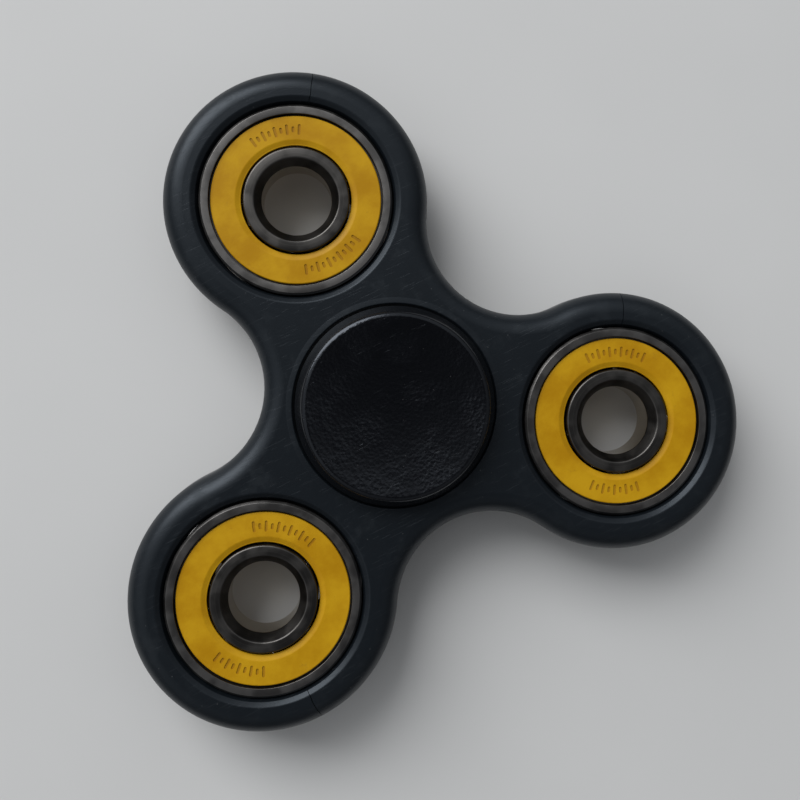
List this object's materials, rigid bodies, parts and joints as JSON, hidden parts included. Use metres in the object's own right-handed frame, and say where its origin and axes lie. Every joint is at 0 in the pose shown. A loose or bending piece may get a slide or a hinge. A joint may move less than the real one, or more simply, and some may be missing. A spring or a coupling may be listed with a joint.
{
  "type": "fidget spinner",
  "caption": "Three-lobed finger spinner: a moulded body turns on a ball bearing between dished finger caps, with ball bearings as weights in its lobes.",
  "frame": {"origin": "on the spin axis, halfway through the thickness", "axes": "+Z along the spin axis out of the top cap, +Y along the arm of the first weight"},
  "size_m": [0.0756, 0.0697, 0.0132],
  "materials": {
    "body_plastic": "satin black moulded plastic with a slight blue cast, fine flow marks and scuffs",
    "cap_plastic": "black moulded plastic with a smooth rim and a grained dish",
    "outer_ring_steel": "dark ground bearing steel with bright chamfers",
    "inner_ring_steel": "dark ground bearing steel with a bright bore chamfer",
    "seal_rubber": "yellow rubber, satin, stepping down to a thin inner lip",
    "ball_steel": "polished bearing balls",
    "cage_steel": "pressed steel, dull"
  },
  "bodies": {
    "hub": {"cap_top": "cap_plastic", "cap_bottom": "cap_plastic", "centre_inner_ring": "inner_ring_steel"},
    "rotor": {"body": "body_plastic", "centre_outer_ring": "outer_ring_steel", "weight_1_outer_ring": "outer_ring_steel", "weight_2_outer_ring": "outer_ring_steel", "weight_3_outer_ring": "outer_ring_steel", "centre_seal_top": "seal_rubber", "centre_seal_bottom": "seal_rubber", "weight_1_seal_top": "seal_rubber", "weight_1_seal_bottom": "seal_rubber", "weight_2_seal_top": "seal_rubber", "weight_2_seal_bottom": "seal_rubber", "weight_3_seal_top": "seal_rubber", "weight_3_seal_bottom": "seal_rubber"},
    "centre_rolling_set": {"centre_cage": "cage_steel", "centre_ball_1": "ball_steel", "centre_ball_2": "ball_steel", "centre_ball_3": "ball_steel", "centre_ball_4": "ball_steel", "centre_ball_5": "ball_steel", "centre_ball_6": "ball_steel", "centre_ball_7": "ball_steel"},
    "weight_1_inner_race": {"weight_1_inner_ring": "inner_ring_steel"},
    "weight_1_rolling_set": {"weight_1_cage": "cage_steel", "weight_1_ball_1": "ball_steel", "weight_1_ball_2": "ball_steel", "weight_1_ball_3": "ball_steel", "weight_1_ball_4": "ball_steel", "weight_1_ball_5": "ball_steel", "weight_1_ball_6": "ball_steel", "weight_1_ball_7": "ball_steel"},
    "weight_2_inner_race": {"weight_2_inner_ring": "inner_ring_steel"},
    "weight_2_rolling_set": {"weight_2_cage": "cage_steel", "weight_2_ball_1": "ball_steel", "weight_2_ball_2": "ball_steel", "weight_2_ball_3": "ball_steel", "weight_2_ball_4": "ball_steel", "weight_2_ball_5": "ball_steel", "weight_2_ball_6": "ball_steel", "weight_2_ball_7": "ball_steel"},
    "weight_3_inner_race": {"weight_3_inner_ring": "inner_ring_steel"},
    "weight_3_rolling_set": {"weight_3_cage": "cage_steel", "weight_3_ball_1": "ball_steel", "weight_3_ball_2": "ball_steel", "weight_3_ball_3": "ball_steel", "weight_3_ball_4": "ball_steel", "weight_3_ball_5": "ball_steel", "weight_3_ball_6": "ball_steel", "weight_3_ball_7": "ball_steel"}
  },
  "joints": [
    {"name": "rotor_spin", "type": "hinge", "parent": "hub", "child": "rotor", "pos_m": [0, 0, 0], "axis": [0, 0, 1], "continuous": true},
    {"name": "centre_cage_orbit", "type": "hinge", "parent": "hub", "child": "centre_rolling_set", "pos_m": [0, 0, 0], "axis": [0, 0, 1], "continuous": true},
    {"name": "weight_1_ring_spin", "type": "hinge", "parent": "rotor", "child": "weight_1_inner_race", "pos_m": [0, 0.0262, 0], "axis": [0, 0, 1], "continuous": true},
    {"name": "weight_1_cage_orbit", "type": "hinge", "parent": "rotor", "child": "weight_1_rolling_set", "pos_m": [0, 0.0262, 0], "axis": [0, 0, 1], "continuous": true},
    {"name": "weight_2_ring_spin", "type": "hinge", "parent": "rotor", "child": "weight_2_inner_race", "pos_m": [-0.02269, -0.0131, 0], "axis": [0, 0, 1], "continuous": true},
    {"name": "weight_2_cage_orbit", "type": "hinge", "parent": "rotor", "child": "weight_2_rolling_set", "pos_m": [-0.02269, -0.0131, 0], "axis": [0, 0, 1], "continuous": true},
    {"name": "weight_3_ring_spin", "type": "hinge", "parent": "rotor", "child": "weight_3_inner_race", "pos_m": [0.02269, -0.0131, 0], "axis": [0, 0, 1], "continuous": true},
    {"name": "weight_3_cage_orbit", "type": "hinge", "parent": "rotor", "child": "weight_3_rolling_set", "pos_m": [0.02269, -0.0131, 0], "axis": [0, 0, 1], "continuous": true}
  ],
  "couplings": [
    {"joint": "centre_cage_orbit", "follows": "rotor_spin", "ratio": 0.63233},
    {"joint": "weight_1_cage_orbit", "follows": "weight_1_ring_spin", "ratio": 0.36767},
    {"joint": "weight_2_cage_orbit", "follows": "weight_2_ring_spin", "ratio": 0.36767},
    {"joint": "weight_3_cage_orbit", "follows": "weight_3_ring_spin", "ratio": 0.36767}
  ]
}
